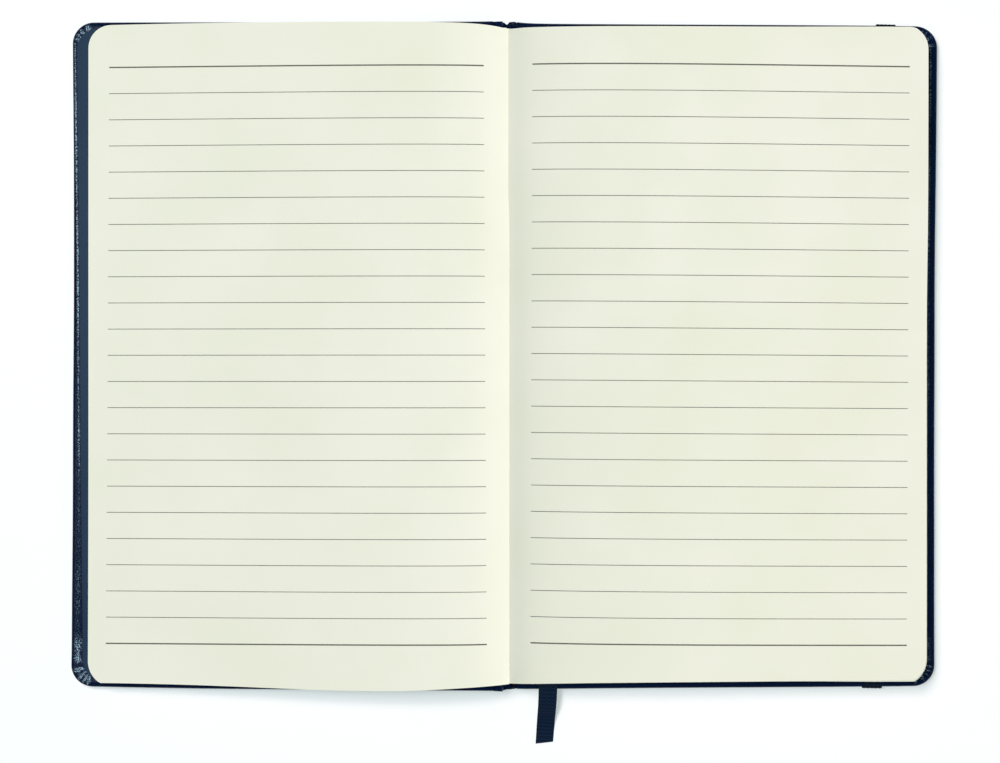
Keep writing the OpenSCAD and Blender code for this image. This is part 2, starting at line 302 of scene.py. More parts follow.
def clothMaterial(name, dark, light, across, along, roughness):  # threads run with the piece's own map
    made, net, shader = newMaterial(name, roughness, 0.12)
    uv = net.add("ShaderNodeUVMap", uv_map="threads").outputs[0]
    split = net.add("ShaderNodeSeparateXYZ", {"Vector": uv})
    rib = net.math("SINE", net.times(split.outputs[0], across * 2 * math.pi))
    pick = net.math("SINE", net.times(split.outputs[1], along * 2 * math.pi))
    # the weave's crests take the light colour and its hollows the dark one: painted highlight and shade on the threads,
    # beside the bump
    weave = net.plus(net.times(net.times(rib, pick), 0.35), net.times(pick, 0.25))
    share = net.plus(weave, 0.5, clamp=True)
    wire(net, net.mix(share, colour(*dark), colour(*light)), shader.inputs["Base Color"])
    addBump(net, shader, weave, 0.7, 0.08)
    return made


ribbonCloth = clothMaterial("ribbonSatin", (4, 15, 32), (20, 37, 60), across=0.75, along=0.85, roughness=0.5)
elasticCloth = clothMaterial("elasticKnit", (4, 13, 27), (15, 30, 49), across=1.6, along=1.1, roughness=0.75)
print("materials made")

# shared shape of the open book, in millimetres
side = {
    "left": {"sign": -1, "reach": 132.02, "tilt": 2.6, "joint": -5.1, "hingeZ": 5.98214, "floor": 8.9291,
             "floorAt": 5.1, "stack": 2.5, "belly": 4.1, "peak": 33.0, "soft": 8.5, "gate": 4.8, "peek": 0.0,
             "foldLow": (-1.3, 7.5), "foldHigh": (-1.3, 7.9)},
    "right": {"sign": 1, "reach": 130.85, "tilt": 0.5, "joint": 2.5, "hingeZ": 1.75208, "floor": 5.05,
              "floorAt": 2.2, "stack": 7.5, "belly": 4.3, "peak": 39.0, "soft": 5.2, "gate": 2.2, "peek": 0.45,
              "foldLow": (1.0, 2.6), "foldHigh": (-1.2, 6.2)},
}
book = {"gutterZ": 9.129, "halfLeaf": 102.7, "cornerR": 8.0, "halfCover": 105.0, "coverW": 132.85, "coverT": 2.5,
        "coverR": 6.8, "corners": {"tail": (8.0, 1.2), "leftHead": (7.0, 0.0), "rightHead": (7.5, 0.6)}}


def floorZ(s, x):
    return s["floor"] - (x - s["floorAt"]) * math.tan(math.radians(s["tilt"]))


def pageZ(s, x):
    x = min(max(x, 0.0), s["reach"])
    foreZ = floorZ(s, s["reach"]) + s["stack"]
    bend = math.log(0.5) / math.log(s["peak"] / s["reach"])
    eased = (x ** 4 + s["soft"] ** 4) ** 0.25  # the sheet leaves the gutter along a straight slope
    swollen = math.sin(math.pi * min(1.0, eased / s["reach"]) ** bend) * x / eased
    return book["gutterZ"] + (foreZ - book["gutterZ"]) * x / s["reach"] + s["belly"] * swollen


def coverPoint(s, u, y, t):
    a = math.radians(s["tilt"])
    x = s["joint"] + s["sign"] * (u * math.cos(a) + t * math.sin(a))
    return (x, y, s["hingeZ"] - u * math.sin(a) + t * math.cos(a))


# how far the open pages reach towards head and tail, seen from above
def headReach(s, x):
    if s["sign"] > 0:
        return 102.13 + 0.5 * step(x, 98, 9.0)
    curl = 1.45 * (1 - math.exp(-x / 7.0)) + 0.4 * math.sin(math.pi * x / 160)
    return 102.0 + curl - 0.25 * (x / 132) ** 6


def tailReach(s, x):
    if s["sign"] > 0:
        return 101.5 + 1.3 * math.exp(-x / 22.0)
    return 102.5 + 2.05 * bell(x, 40.0, 34.0 if x < 40.0 else 50.0)


# how much a rounded corner takes off the length at x; the leaves were trimmed after rounding, so it starts late
def cornerCut(s, x, end):
    r, trimmed = book["corners"]["tail" if end < 0 else "leftHead" if s["sign"] < 0 else "rightHead"]
    inset = x - (s["reach"] - r)
    return 0.0 if inset <= 0 else max(0.0, r - math.sqrt(max(r * r - inset * inset, 0.0)) - trimmed)


def columns(s, count):  # distances from the gutter, close together at the gutter and round the corners
    flat = s["reach"] - book["cornerR"]
    turns = (10, 20, 30, 38, 46, 54, 62, 70, 77, 84, 90)
    rounded = [flat + book["cornerR"] * math.sin(math.radians(a)) for a in turns]
    return [flat * (i / count) ** 2 for i in range(count + 1)] + rounded


# leaves: one sheet, repeated between the lowest and the highest leaf of each side
leafStack = {
    "left": {"Leaves": 23, "Slip": 0.10, "Head Slip": 0.10, "Fill": 0.72, "Seed": 3},
    "right": {"Leaves": 71, "Slip": 0.16, "Head Slip": 0.12, "Fill": 0.72, "Seed": 8},
}


def newTree(name, inputs):
    tree = bpy.data.node_groups.new(name, "GeometryNodeTree")
    face = tree.interface
    face.new_socket("Geometry", in_out="INPUT", socket_type="NodeSocketGeometry")
    for label, kind in inputs.items():
        face.new_socket(label, in_out="INPUT", socket_type="NodeSocket" + kind)
    face.new_socket("Geometry", in_out="OUTPUT", socket_type="NodeSocketGeometry")
    net = Net(tree)
    return net, net.add("NodeGroupInput").outputs


def endTree(net, shape, material):
    whole = net.add("GeometryNodeRealizeInstances", {0: shape})
    painted = net.add("GeometryNodeSetMaterial", {"Geometry": whole.outputs[0], "Material": material})
    net.add("NodeGroupOutput", {0: painted.outputs[0]})
    return net.tree


def leafTree():
    net, given = newTree("leafStack", {"Leaves": "Int", "Slip": "Float", "Head Slip": "Float", "Fill": "Float",
                                       "Seed": "Int", "Paper": "Material"})
    sheet = net.add("GeometryNodeGeometryToInstance", {0: given["Geometry"]}).outputs[0]
    copies = net.add("GeometryNodeDuplicateElements", {"Geometry": sheet, "Amount": given["Leaves"]}, domain="INSTANCE")
    real = net.number(copies.outputs[0], "leaf", copies.outputs["Duplicate Index"])
    leaf, upper, along = net.named("leaf"), net.named("upper"), net.named("along")
    level = net.plus(leaf, net.times(upper, given["Fill"]))
    share = net.math("DIVIDE", level, net.plus(given["Leaves"], 1.0))
    low, high = net.named("low", "FLOAT_VECTOR"), net.named("high", "FLOAT_VECTOR")
    spot = net.add("ShaderNodeMix", {0: share, 4: low, 5: high}, data_type="VECTOR").outputs[1]
    stray = net.add("FunctionNodeRandomValue", {0: (-1, -1, -1), 1: (1, 1, 1), "ID": leaf, "Seed": given["Seed"]},
                    data_type="FLOAT_VECTOR")
    parts = net.add("ShaderNodeSeparateXYZ", {0: stray.outputs[0]}).outputs
    slipX = net.times(net.times(parts[0], given["Slip"]), net.times(along, mm))
    slipY = net.times(net.times(parts[1], given["Head Slip"]), mm)
    shift = net.add("ShaderNodeCombineXYZ", {0: slipX, 1: slipY}).outputs[0]
    moved = net.add("GeometryNodeSetPosition", {"Geometry": real, "Position": spot, "Offset": shift})
    return endTree(net, moved.outputs[0], given["Paper"])


def leafPlaces(name):  # (lowest leaf, highest leaf) at each column: x, z, half lengths to head and tail
    s = side[name]
    foldX, foldZ = s["foldLow"]
    gateX, gateZ = s["sign"] * s["gate"], floorZ(s, s["gate"])
    low = [(foldX, foldZ, book["halfLeaf"], book["halfLeaf"])]
    high = [(*s["foldHigh"], headReach(s, 0), tailReach(s, 0))]
    along = [0.0]
    for x in columns(s, 26):
        cutHead, cutTail = cornerCut(s, x, 1), cornerCut(s, x, -1)
        if x < s["gate"]:
            t = x / s["gate"]
            lowX, lowZ = foldX + (gateX - foldX) * t, foldZ + (gateZ - foldZ) * t
        else:
            lowX, lowZ = s["sign"] * x, floorZ(s, x)
        low.append((lowX, lowZ + 0.02, book["halfLeaf"] - cutHead, book["halfLeaf"] - cutTail))
        back = 0.3 * (x / s["reach"]) ** 6
        highZ = pageZ(s, x) - 0.9 * bell(x, 0, 3.0)
        peek = s["peek"] * step(x, 104, 6.0)
        high.append((s["sign"] * (x - back), highZ, headReach(s, x) - cutHead, tailReach(s, x) - cutTail + peek))
        along.append(min(1.0, x / s["reach"]))
    return low, high, along


def leafSheet(name):
    low, high, along = leafPlaces(name)
    n = len(low)
    lowAt, highAt, upper, reach = [], [], [], []
    for level in (0, 1):
        for end in (0, 1):
            for i in range(n):
                lowAt.append((low[i][0], low[i][2] if end else -low[i][3], low[i][1]))
                highAt.append((high[i][0], high[i][2] if end else -high[i][3], high[i][1]))
                upper.append(float(level))
                reach.append(along[i])
    faces = []
    for i in range(n - 1):
        a, b, c, d = i, n + i, 2 * n + i, 3 * n + i
        faces += [(a, a + 1, b + 1, b)[::-1], (c, c + 1, d + 1, d), (a, a + 1, c + 1, c)]
        faces.append((b, b + 1, d + 1, d)[::-1])
    faces += [(0, n, 3 * n, 2 * n)[::-1], (n - 1, 2 * n - 1, 4 * n - 1, 3 * n - 1)]
    if name == "left":
        faces = [f[::-1] for f in faces]
    made = addMesh(name + "Leaves", highAt, faces)
    for key, values in {"low": lowAt, "high": highAt}.items():
        attribute = made.data.attributes.new(key, "FLOAT_VECTOR", "POINT")
        attribute.data.foreach_set("vector", [c * mm for v in values for c in v])
    for key, values in {"upper": upper, "along": reach}.items():
        made.data.attributes.new(key, "FLOAT", "POINT").data.foreach_set("value", values)
    return made


stackTree = leafTree()
stacks = []
for name in ("left", "right"):
    sheet = leafSheet(name)
    grow = sheet.modifiers.new("leaves", "NODES")
    grow.node_group = stackTree
    setInputs(grow, dict(leafStack[name], Paper=shadedLeafPaper))
    finishTree(sheet, grow)
    for key in ("low", "high", "upper", "along", "leaf"):
        if key in sheet.data.attributes:
            sheet.data.attributes.remove(sheet.data.attributes[key])
    stacks.append(sheet)
print("leaves stacked", [len(o.data.polygons) for o in stacks])

# the two open pages: the top leaf of each side, with its own curl
page = {"thick": 0.1, "rows": 40, "above": 0.06, "lift": 1.3, "stitches": (62.5, 48.4, -4.0, -58.0), "dip": 0.3}


def pageRise(s, x, y):  # small departures of a real sheet from the even curve
    u, v = x / s["reach"], y / book["halfLeaf"]
    tailward = max(0.0, -v)
    if s["sign"] < 0:
        rise = page["lift"] * tailward ** 2 * u ** 2 + 0.12 * math.sin(2.4 * v + 1.0) * u
    else:
        rise = 0.10 * math.sin(2.1 * v + 5.2 * u) * u + 0.4 * tailward ** 12 * u ** 6
    near = bell(x, 0, 1.6)
    rise -= page["dip"] * near * sum(bell(y, stitch, 2.2) for stitch in page["stitches"])
    return rise - 0.6 * near * (bell(y, -104, 4.0) + 0.5 * bell(y, 104, 4.0))


def gutterX(y):  # the crease wanders a little down the page
    return -0.35 if y > 52 else -0.35 + 0.3 * min(1.0, (52 - y) / 12)


def foreWander(s, y):
    return 0.0 if s["sign"] < 0 else 0.15 - 0.65 * step(-y, -25, 12)


def pageSheet(name):
    s = side[name]
    xs, rows = columns(s, 46), page["rows"]
    verts = []
    for level in (0.0, -page["thick"]):
        for r in range(rows + 1):
            v = math.sin(math.pi * (r / rows - 0.5)) * 0.35 + (2 * r / rows - 1) * 0.65
            for x in xs:
                y = v * ((headReach(s, x) if v > 0 else tailReach(s, x)) - cornerCut(s, x, v))
                out = x + foreWander(s, y) * (x / s["reach"]) ** 6
                z = pageZ(s, x) + page["above"] + pageRise(s, x, y) + level
                verts.append((s["sign"] * out + gutterX(y) * math.exp(-x / 6.0), y, z))
    faces = sheetFaces(rows + 1, len(xs))
    if s["sign"] < 0:  # this page runs the other way
        faces = [f[::-1] for f in faces]
    return dress(outward(addMesh(name + "Page", verts, faces)), pagePaper, 50)


pages = {name: pageSheet(name) for name in ("left", "right")}
print("pages shaped")

# ruled lines, laid on the page they belong to
ruling = {
    "left": {"Lines": 23, "Pitch": 8.200, "Middle": 0.0, "Skew": 0.0, "Fan": 0.0, "Inner": 7.6, "Outer": 125.9,
             "Inner Taper": 0.0054, "Outer Taper": -0.0055},
    "right": {"Lines": 23, "Pitch": 8.209, "Middle": 0.56, "Skew": -0.0066, "Fan": 0.003, "Inner": 6.8, "Outer": 124.6,
              "Inner Taper": 0.0035, "Outer Taper": 0.005},
    "width": 0.21, "edgeWidth": 0.42, "proud": 0.012,
}


def rulingTree():
    floats = ("Pitch", "Middle", "Skew", "Fan", "Inner", "Outer", "Inner Taper", "Outer Taper", "Side", "Width",
              "Edge Width", "Proud")
    net, given = newTree("ruledLines", {"Lines": "Int", **dict.fromkeys(floats, "Float"), "Ink": "Material"})
    stroke = net.add("GeometryNodeCurvePrimitiveLine", {"Start": (0, 0, 0), "End": (1, 0, 0)})
    dotted = net.add("GeometryNodeResampleCurve", {"Curve": stroke.outputs[0], "Count": 44})
    starts = net.add("GeometryNodeMeshLine", {"Count": given["Lines"], "Offset": (0, 0, 0)})
    copies = net.add("GeometryNodeInstanceOnPoints", {"Points": starts.outputs[0], "Instance": dotted.outputs[0]})
    real = net.number(copies.outputs[0], "line", net.add("GeometryNodeInputIndex").outputs[0])
    line = net.named("line")
    last = net.minus(given["Lines"], 1.0)
    where = net.minus(net.math("DIVIDE", last, 2.0), line)
    at = net.add("ShaderNodeSeparateXYZ", {0: net.add("GeometryNodeInputPosition").outputs[0]}).outputs[0]
    flatY = net.times(where, given["Pitch"])
    inner = net.plus(given["Inner"], net.times(given["Inner Taper"], flatY))
    outer = net.plus(given["Outer"], net.times(given["Outer Taper"], flatY))
    spaced = net.math("POWER", at, 1.6)
    x = net.plus(inner, net.times(spaced, net.minus(outer, inner)))
    fan = net.times(given["Fan"], net.minus(net.math("DIVIDE", x, 130.0), 0.5))
    spread = net.times(flatY, net.plus(fan, 1.0))
    y = net.plus(net.plus(spread, given["Middle"]), net.times(x, given["Skew"]))
    sideX = net.times(net.times(x, given["Side"]), mm)
    spot = net.add("ShaderNodeCombineXYZ", {0: sideX, 1: net.times(y, mm), 2: 0.05})  # above the page
    hit = net.add("GeometryNodeRaycast", {"Target Geometry": given["Geometry"], "Source Position": spot.outputs[0],
                                          "Ray Direction": (0, 0, -1), "Ray Length": 0.1}, data_type="FLOAT")
    proud = net.add("ShaderNodeCombineXYZ", {2: net.times(given["Proud"], mm)}).outputs[0]
    lifted = net.add("ShaderNodeVectorMath", {0: hit.outputs["Hit Position"], 1: proud}, operation="ADD")
    laid = net.add("GeometryNodeSetPosition", {"Geometry": real, "Position": lifted.outputs[0]})
    lastToo = net.math("GREATER_THAN", line, net.minus(last, 0.5))
    edge = net.math("MAXIMUM", net.math("LESS_THAN", line, 0.5), lastToo)  # the first and last line are printed wider
    extra = net.minus(given["Edge Width"], given["Width"])
    wide = net.plus(given["Width"], net.times(edge, extra))
    upright = net.add("GeometryNodeSetCurveNormal", {"Curve": laid.outputs[0]}, mode="Z_UP")
    bar = net.add("GeometryNodeCurvePrimitiveQuadrilateral", {"Width": 1.0, "Height": 0.1})
    strips = net.add("GeometryNodeCurveToMesh", {"Curve": upright.outputs[0], "Profile Curve": bar.outputs[0],
                                                 "Scale": net.times(wide, mm), "Fill Caps": True})
    return endTree(net, strips.outputs[0], given["Ink"])


rulingShape = rulingTree()
rules = []
for name in ("left", "right"):
    sheet = inScene(name + "Ruling", pages[name].data.copy())
    sheet.data.materials.clear()
    printing = sheet.modifiers.new("ruling", "NODES")
    printing.node_group = rulingShape
    setInputs(printing, {**ruling[name], "Side": float(side[name]["sign"]), "Width": ruling["width"],
                         "Edge Width": ruling["edgeWidth"], "Proud": ruling["proud"], "Ink": ink})
    finishTree(sheet, printing)
    rules.append(sheet)
print("pages ruled", [len(o.data.polygons) for o in rules])

# the sewn back of the block: glued folds that sit in the spine
sewn = {"radius": 0.9396, "half": 102.6,
        "folds": [(-3.774, 7.726), (-1.721, 7.726), (-0.860, 6.534), (-0.860, 4.481), (-0.860, 2.429), (0.391, 1.962)],
        "core": [(-4.8, 7.26), (-1.33, 7.26), (-1.33, 1.27), (0.46, 1.27), (1.38, 2.51), (1.9, 4.2), (0.9, 6.2),
                 (-0.5, 8.1), (-2.2, 8.4), (-4.8, 8.5)]}


def prism(name, ring, half):
    verts = [(x, end * half, z) for end in (-1, 1) for x, z in ring]
    return outward(addMesh(name, verts, prismFaces(len(ring))))


parts = [prism("sewnBack", sewn["core"], sewn["half"] - 0.1)]
for fx, fz in sewn["folds"]:
    parts.append(prism("fold", arc(fx, fz, sewn["radius"], range(0, 360, 15)), sewn["half"]))
sewnBack = dress(joinAll("sewnBack", parts), shadedLeafPaper, 35)
print("sewn back made")

# covers: leatherette wrapped round each board, with a soft ridge where it is turned in and pleats at the corners
wrap = {"edgeR": 1.0, "skin": 0.35, "turnIn": 15.0, "ridge": 0.11, "ridgeAt": 1.55, "pleat": 0.17, "pleats": 4.5,
        "waver": 0.08, "deep": 20.0, "lift": 0.6, "straight": 46, "fore": 130, "corner": 30}
# how strongly each cover shows worn grain and painted glint: the left cover, towards the sheen lamp, most; the two
# patches near the tail are painted sheen
glintAndWearShare = {"left": 1.0, "right": 0.42, "ridge": 1.15, "tail": 0.34, "patch": 0.72, "patchAt": (-91.6, -96.8)}


def edgeProfile():  # (inward from the edge, height): outer face, round the edge, turned-in strip, and back inside
    r, k, top = wrap["edgeR"], wrap["skin"], book["coverT"]
    ring = [(wrap["deep"], 0.0), (6.0, 0.0), (2.0, 0.0)]
    ring += [(r - r * math.sin(a), r - r * math.cos(a)) for a in quarter]
    ring += [(r - r * math.sin(a), top - r + r * math.cos(a)) for a in quarter[::-1]]
    ring += [(d, top) for d in (1.2, 1.4, 1.6, 1.8, 2.0, 2.2, 2.6, 3.2, 4.2, 6.0, wrap["turnIn"])]
    ring += [(wrap["turnIn"], top - k), (3.0, top - k), (k + 0.02, top - k), (k + 0.02, k), (3.0, k), (wrap["deep"], k)]
    return ring


def edgeStations():  # which stretch of the edge, and how far along it: head, corner, fore edge, corner, tail
    n, c, long = wrap["straight"], wrap["corner"], wrap["fore"]
    stations = [("head", i / n) for i in range(n)] + [("headCorner", i / c) for i in range(c)]
    stations += [("fore", i / long) for i in range(long)] + [("tailCorner", i / c) for i in range(c)]
    return stations + [("tail", i / n) for i in range(n + 1)]


def edgePlace(stretch, f, d):
    w, h, r0 = book["coverW"], book["halfCover"], book["coverR"]
    r = max(r0 - d, 0.5)
    cu, cy = w - d - r, h - d - r
    if stretch == "head":
        return cu * f, h - d
    if stretch == "tail":
        return cu * (1 - f), d - h
    if stretch == "fore":
        return w - d, cy * (1 - 2 * f)
    a = math.radians(90 * (1 - f) if stretch == "headCorner" else -90 * f)
    return cu + r * math.cos(a), (cy if stretch == "headCorner" else -cy) + r * math.sin(a)


def ripple(s, phase):  # a slow, uneven wander along an edge
    slow, quick = math.sin(s * 11.3 + phase), math.sin(s * 23.9 + 2.1 * phase)
    return (slow + 0.7 * quick + 0.5 * math.sin(s * 47.7 + 0.7 * phase)) / 2.2


def strain(s, u, y):  # how far the real cover has wandered from its square shape: inwards at the fore edge, along y
    w = book["coverW"]
    if s["sign"] < 0:
        inset = 0.45 * bell(y, 30, 55) - 0.3 * bell(y, -105, 35)
        head = -0.36 + 0.5 * u / w + 0.1 * math.exp(-u / 5)
        tail = -0.3 + 0.0015 * u + 0.00022 * max(0.0, u - 76) ** 2
    else:
        inset = 0.15 - 0.83 * step(y, 55, 16)
        head = -0.1 + 0.45 * math.exp(-u / 3.5) - 0.12 * (u / w) ** 2 - 0.3 * (u / w) ** 14
        tail = -0.05 - 0.45 * math.exp(-u / 55) * (1 - 0.3 * math.exp(-u / 6)) + 0.25 * (u / w) ** 14
    return inset * (u / w) ** 8, (head if y > 0 else tail) * abs(y) / book["halfCover"]


def cornerLift(s, u, y):  # the tail corner of the front cover stands up a little
    return wrap["lift"] * bell(y, -104, 8) * (u / book["coverW"]) ** 12 if s["sign"] < 0 else 0.0


def bareBorder(s, y):  # how wide the leatherette shows between the fore edge and the endpaper
    return 4.2 if s["sign"] > 0 else 2.4 - 0.0115 * y + 0.35 * (y / 100) ** 2


def foreEdgeGlintAndWear(d, y, crest, swing):  # worn grain and painted glint on the ridge of the fore edge, wider towards the tail, with two painted sheen patches there
    towardsTail = step(-y, 20, 18)
    glintAndWear = (1 - towardsTail) * glintAndWearShare["ridge"] * bell(d, crest, 0.33) + towardsTail * glintAndWearShare["tail"] * bell(d, 1.9, 1.3)
    patches = sum(bell(y, at, 2.2) for at in glintAndWearShare["patchAt"])
    return glintAndWear * (0.85 + 0.3 * swing) + glintAndWearShare["patch"] * bell(d, 2.3, 1.15) * patches


def coverWrap(name, piece, seed):
    s = side[name]
    ring, stations = edgeProfile(), edgeStations()
    topFrom, topTo = 10, 28  # the points of the ring that lie on the upper side
    verts, glintAndWearPoints = [], []
    for m, (stretch, f) in enumerate(stations):
        along = m / len(stations)
        rounding = math.sin(math.pi * f) if "Corner" in stretch else 0.0
        fold = abs(math.cos(math.pi * wrap["pleats"] * (f + 0.06 * math.sin(7 * f + seed)))) ** 3 if rounding else 0.0
        for k, (d, t) in enumerate(ring):
            if k < topTo and d < 7:
                d -= wrap["waver"] * ripple(along, seed) * max(0.0, 1 - d / 7)
            u, y = edgePlace(stretch, f, d)
            glintAndWear = 0.0
            if topFrom <= k < topTo:
                crest = wrap["ridgeAt"] if abs(y) > 101 else min(bareBorder(s, y) - 0.65, 2.2)
                t += wrap["ridge"] * bell(d, crest, 0.5) * (0.75 + 0.25 * ripple(along * 3, seed + 2))
                t += wrap["pleat"] * (fold - 0.35) * rounding * bell(d, 1.9, 1.5)
                if stretch == "fore":
                    glintAndWear = foreEdgeGlintAndWear(d, y, crest, ripple(along * 5, seed))
                # at the corners the pleats get painted highlight, with some wear
                elif rounding:
                    glintAndWear = (1.5 * fold + 0.3) * bell(d, 2.5, 1.7)
            glintAndWearPoints.append(glintAndWear * glintAndWearShare[name])
            if d < wrap["deep"]:
                t += cornerLift(s, u, y)
            inset, shift = strain(s, u, y)
            verts.append(coverPoint(s, u - inset, y + shift, t))
    rows, cols = len(stations), len(ring)
    faces = gridFaces(rows, cols)
    faces.append(tuple(m * cols for m in range(rows)))
    faces.append(tuple(m * cols + cols - 1 for m in range(rows))[::-1])
    faces.append(tuple(range(cols)) + tuple((rows - 1) * cols + k for k in range(cols - 1, -1, -1)))
    start = len(verts)  # the leatherette also goes down the inner edge of the board, beside the joint
    rounded = ((1.0, 0.02), (0.32, 0.3), (0.04, 1.0), (0.04, 1.5), (0.32, 2.2), (1.0, 2.48))
    section = [(book["halfCover"] - d, t) for d, t in rounded]
    section += [(-y, t) for y, t in section[::-1]]
    for u in (-0.03, 0.11):
        for y, t in section:
            verts.append(coverPoint(s, u, y + strain(s, 0.0, y)[1], t))
            glintAndWearPoints.append(0.0)
    faces += prismFaces(len(section), start)
    made = outward(addMesh(piece, verts, faces))
    made.data.attributes.new("glintAndWear", "FLOAT", "POINT").data.foreach_set("value", glintAndWearPoints)
    return dress(made, leather, 50)


def coverBoard(name, piece):  # the greyboard inside, cut to the same outline
    s = side[name]
    k, gap = wrap["skin"] + 0.02, wrap["skin"] + 0.09
    verts = []
    for t in (k, book["coverT"] - k):
        for stretch, f in edgeStations():
            u, y = edgePlace(stretch, f, gap)
            inset, shift = strain(s, u, y)
            verts.append(coverPoint(s, max(0.12, u - inset), y + shift, t))
    return dress(outward(addMesh(piece, verts, prismFaces(len(verts) // 2))), boardCard)


# pasted half of each endpaper; band is where the elastic's ends lie under it
pasted = {"short": 2.2, "shortEnds": 2.1, "cornerR": 6.5, "above": 0.15, "below": 0.03,
          "bandAt": 115.25, "bandSkew": 0.0209, "bandHalf": 3.2, "bandFrom": 92.9, "bandRise": 0.32}


def endSheet(name, piece):  # pasted over the board and the turned-in edges; it rises over the ends of the elastic
    s = side[name]
    w, h, r = book["coverW"] - pasted["short"], book["halfCover"] - pasted["shortEnds"], pasted["cornerR"]
    us = [0.02] + [w * i / 24 for i in range(1, 20)] + [w - 24 + i for i in range(20)]
    us = sorted(us + [w - r + r * math.sin(math.radians(a)) for a in (10, 25, 40, 55, 70, 80, 90)])
    ys = [h * i / 20 for i in range(-17, 18)]
    ys = [-h + i for i in range(16)] + [y for y in ys if abs(y) < h - 16] + [h - 15 + i for i in range(16)]
    verts = []
    for level in (pasted["above"], -pasted["below"]):
        for y0 in ys:
            for u0 in us:
                inset = u0 - (w - r)
                cut = 0.0 if inset <= 0 else r - math.sqrt(max(r * r - inset * inset, 0.0))
                y = y0 * (h - cut) / h
                bare, shift = strain(s, u0, y)
                u = u0 - (bare + bareBorder(s, y) - pasted["short"]) * (u0 / w) ** 10
                t = book["coverT"] + level + cornerLift(s, u0, y)
                if s["sign"] > 0:
                    aside = abs(u0 - pasted["bandAt"] - y * pasted["bandSkew"]) - pasted["bandHalf"]
                    before = pasted["bandFrom"] - abs(y)
                    over = max(0.0, 1 - max(0.0, aside) / 0.7) * max(0.0, 1 - max(0.0, before) / 0.9)
                    t += pasted["bandRise"] * over
                verts.append(coverPoint(s, u, y + shift, t))
    return dress(outward(addMesh(piece, verts, sheetFaces(len(ys), len(us)))), endpaper, 50)


endSheets = {"left": endSheet("left", "frontEndSheet"), "right": endSheet("right", "backEndSheet")}
coverBoards = {"left": coverBoard("left", "frontBoardCard"), "right": coverBoard("right", "backBoardCard")}
coverWraps = {"left": coverWrap("left", "frontCoverWrap", 1.3), "right": coverWrap("right", "backCoverWrap", 4.1)}
print("covers wrapped")

# spine: the same leatherette, folded round the back of the block, with a small cap over each end
spine = {"skin": 0.35, "rim": 2.2, "rimThick": 0.7,
         "headCap": [(-5, -0.2), (-2.9, -0.1), (-2.4, 0.05), (-1.6, 0.7), (-0.75, 0.0), (-0.4, 0.1), (0.25, 0.85),
                     (1.2, 0.85), (2.4, 0.5)],
         "tailCap": [(-5, 0.45), (-3.2, 0.55), (-2.6, 0.65), (-1.7, 1.2), (-0.7, 0.92), (0.6, 0.9), (2.4, 0.42)]}


def between(table, x):  # eased steps between the pairs of a table
    for (x0, v0), (x1, v1) in zip(table, table[1:]):
        if x <= x1:
            t = max(0.0, x - x0) / (x1 - x0)
            return v0 + (v1 - v0) * t * t * (3 - 2 * t)
    return table[-1][1]


def spinePath():
    def turn(cx, cz, start, end):
        return arc(cx, cz, 1.0, [start + (end - start) * i / 8 for i in range(9)])
    fold = [(-5.0, 5.987), (-4.4, 5.987)] + turn(-3.6, 4.987, 90, 0) + [(-2.6, 3.6), (-2.6, 2.2)]
    foot = turn(-1.6, 1, 180, 270) + [(x, 0.0) for x in (-1.2, -0.75, -0.4, 0.0, 0.3)]
    return fold + foot + turn(0.6, 1, 270, 323.5) + [(1.9, 1.077), (2.4, 1.753)]


def beside(path, d):  # the path moved to its left by d
    moved = []
    for i, p in enumerate(path):
        a, b = path[max(i - 1, 0)], path[min(i + 1, len(path) - 1)]
        dx, dz = b[0] - a[0], b[1] - a[1]
        size = math.hypot(dx, dz)
        moved.append((p[0] - dz / size * d, p[1] + dx / size * d))
    return moved


def spineWrap():
    path = spinePath()
    h, k, rim = book["halfCover"], spine["skin"], spine["rimThick"]
    half = [(h - 3.0, 0.0), (h - 1.2, 0.0), (h - 0.3, 0.04), (h + 0.05, 0.2), (h + 0.1, 0.38), (h - 0.05, 0.56),
            (h - 0.35, 0.68), (h - 1.0, rim), (h - spine["rim"], rim), (h - spine["rim"], k)]
    ring = half + [(-y, d) for y, d in half[::-1]]
    layers = {d: beside(path, d) for _, d in half}
    verts = []
    for i in range(len(path)):
        for y, d in ring:
            x, z = layers[d][i]
            reach = max(0.0, (abs(y) - h + 1.5) / 1.6)
            cap = between(spine["headCap"] if y > 0 else spine["tailCap"], x)
            verts.append((x, y + cap * min(reach, 1.0) * (1 if y > 0 else -1), z))
    return dress(outward(addMesh("spineWrap", verts, tubeFaces(len(path), len(ring)))), leather, 50)


spineWrapped = spineWrap()

# joint strips: the leatherette runs on from the spine to each cover, and bends there
joint = {"inner": 0.14, "proud": 0.03, "steps": (0.06, 0.4, 0.8, 1.4, 2.2, 3.2, 4.2)}


